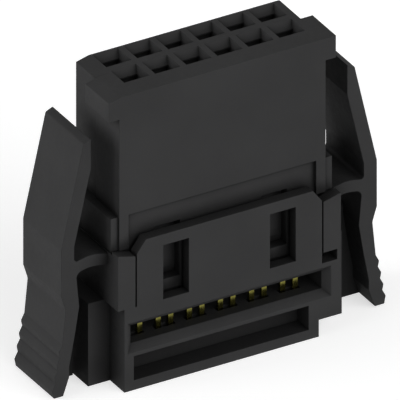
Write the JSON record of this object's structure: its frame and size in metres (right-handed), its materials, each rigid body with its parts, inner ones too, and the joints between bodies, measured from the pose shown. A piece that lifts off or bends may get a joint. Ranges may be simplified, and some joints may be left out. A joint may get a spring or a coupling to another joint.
{
  "type": "ribbon cable socket header",
  "caption": "Two-row, fine-pitch socket for ribbon cable: keyed contact housing seated in a clip-on cable cover with two latch levers, forked gold-plated contacts inside.",
  "frame": {"origin": "middle of the cable cover's flat base, on the surface that it stands on", "axes": "+X along the contact rows, +Y from the front broad face with the keyed head to the back one, +Z from the base up to the mating face"},
  "size_m": [0.0136, 0.0042, 0.0118],
  "materials": {
    "housing_plastic": "moulded, fine matte",
    "cover_plastic": "moulded, fine matte",
    "contact_metal": "gold plated copper alloy"
  },
  "bodies": {
    "root": {"contact_housing": "housing_plastic", "cable_cover": "cover_plastic", "front_contact_1": "contact_metal", "front_contact_2": "contact_metal", "front_contact_3": "contact_metal", "front_contact_4": "contact_metal", "front_contact_5": "contact_metal", "front_contact_6": "contact_metal", "back_contact_1": "contact_metal", "back_contact_2": "contact_metal", "back_contact_3": "contact_metal", "back_contact_4": "contact_metal", "back_contact_5": "contact_metal", "back_contact_6": "contact_metal"}
  },
  "joints": []
}
